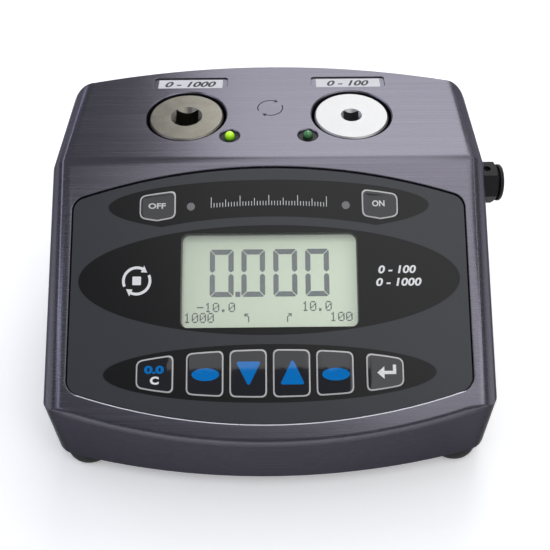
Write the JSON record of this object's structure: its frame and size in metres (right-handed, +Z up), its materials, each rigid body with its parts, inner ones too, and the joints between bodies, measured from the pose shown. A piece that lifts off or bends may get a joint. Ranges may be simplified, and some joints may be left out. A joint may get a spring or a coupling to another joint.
{
  "type": "torque tester",
  "caption": "Bench torque tester: wedge-shaped metal housing with square drive sockets in the deck, pressable keys and a display on the slope, a turning side knob and rubber feet.",
  "frame": {"origin": "centre of the four bench holes, in the underside of the base plate", "axes": "+X along the width, towards the side knob; the panel faces -Y; +Z up"},
  "size_m": [0.1895, 0.1631, 0.0979],
  "materials": {
    "anodised": "brushed, blue-grey anodised",
    "nickel": "nickel plated",
    "bright_steel": "bright",
    "zinc": "zinc plated",
    "rubber": "matte",
    "black_plastic": "satin",
    "black_metal": "satin black",
    "lens_green": "clear, lit",
    "lens_dim": "clear, unlit",
    "label_white": "printed film",
    "overlay_film": "printed film",
    "key_film": "smooth",
    "window": "clear",
    "lcd": "grey-green display",
    "diffuser": "milky",
    "pcb": "green circuit board",
    "brass": "turned",
    "gauge_foil": "amber film",
    "cell_sleeve": "shrink sleeve"
  },
  "bodies": {
    "base": {"housing": "anodised", "base_plate": "anodised", "base_screws": "zinc", "foot_front_left": "rubber", "foot_front_right": "rubber", "foot_rear_left": "rubber", "foot_rear_right": "rubber", "foot_washers": "zinc", "foot_screws": "zinc", "transducer_large": "nickel", "transducer_small": "bright_steel", "transducer_screws": "zinc", "strain_gauges": "gauge_foil", "led_large": "lens_green", "led_small": "lens_dim", "led_holders": "black_plastic", "led_board": "pcb", "led_board_screws": "zinc", "label_large": "label_white", "label_small": "label_white", "overlay": "overlay_film", "switch_layer": "pcb", "key_domes": "bright_steel", "keypad_tail": "gauge_foil", "window_pane": "window", "lcd_bezel": "zinc", "lcd_glass": "lcd", "lcd_backlight": "diffuser", "lcd_board": "pcb", "lcd_screws": "zinc", "main_board": "pcb", "board_standoffs": "brass", "board_screws": "zinc", "battery_pack": "cell_sleeve", "battery_clamp": "zinc", "battery_clamp_screws": "zinc", "selector_switch": "black_plastic", "selector_nut": "zinc", "charger_jack": "black_plastic", "charger_jack_nut": "zinc", "data_port": "zinc", "data_port_posts": "zinc"},
    "key_off_pad": {"key_off": "key_film"},
    "key_on_pad": {"key_on": "key_film"},
    "key_clear_pad": {"key_clear": "key_film"},
    "key_left_pad": {"key_left": "key_film"},
    "key_down_pad": {"key_down": "key_film"},
    "key_up_pad": {"key_up": "key_film"},
    "key_right_pad": {"key_right": "key_film"},
    "key_enter_pad": {"key_enter": "key_film"},
    "knob": {"side_knob": "black_metal", "knob_set_screw": "black_metal", "selector_shaft": "zinc"}
  },
  "joints": [
    {"name": "key_off_press", "type": "slide", "parent": "base", "child": "key_off_pad", "axis": [0, 0.5592, -0.829], "range_m": [0, 0.0004], "stiffness_N_per_m": 1500},
    {"name": "key_on_press", "type": "slide", "parent": "base", "child": "key_on_pad", "axis": [0, 0.5592, -0.829], "range_m": [0, 0.0004], "stiffness_N_per_m": 1500},
    {"name": "key_clear_press", "type": "slide", "parent": "base", "child": "key_clear_pad", "axis": [0, 0.5592, -0.829], "range_m": [0, 0.0004], "stiffness_N_per_m": 1500},
    {"name": "key_left_press", "type": "slide", "parent": "base", "child": "key_left_pad", "axis": [0, 0.5592, -0.829], "range_m": [0, 0.0004], "stiffness_N_per_m": 1500},
    {"name": "key_down_press", "type": "slide", "parent": "base", "child": "key_down_pad", "axis": [0, 0.5592, -0.829], "range_m": [0, 0.0004], "stiffness_N_per_m": 1500},
    {"name": "key_up_press", "type": "slide", "parent": "base", "child": "key_up_pad", "axis": [0, 0.5592, -0.829], "range_m": [0, 0.0004], "stiffness_N_per_m": 1500},
    {"name": "key_right_press", "type": "slide", "parent": "base", "child": "key_right_pad", "axis": [0, 0.5592, -0.829], "range_m": [0, 0.0004], "stiffness_N_per_m": 1500},
    {"name": "key_enter_press", "type": "slide", "parent": "base", "child": "key_enter_pad", "axis": [0, 0.5592, -0.829], "range_m": [0, 0.0004], "stiffness_N_per_m": 1500},
    {"name": "knob_turn", "type": "hinge", "parent": "base", "child": "knob", "pos_m": [0.0889, 0.0254, 0.0633], "axis": [1, 0, 0], "range_deg": [0, 60]}
  ]
}
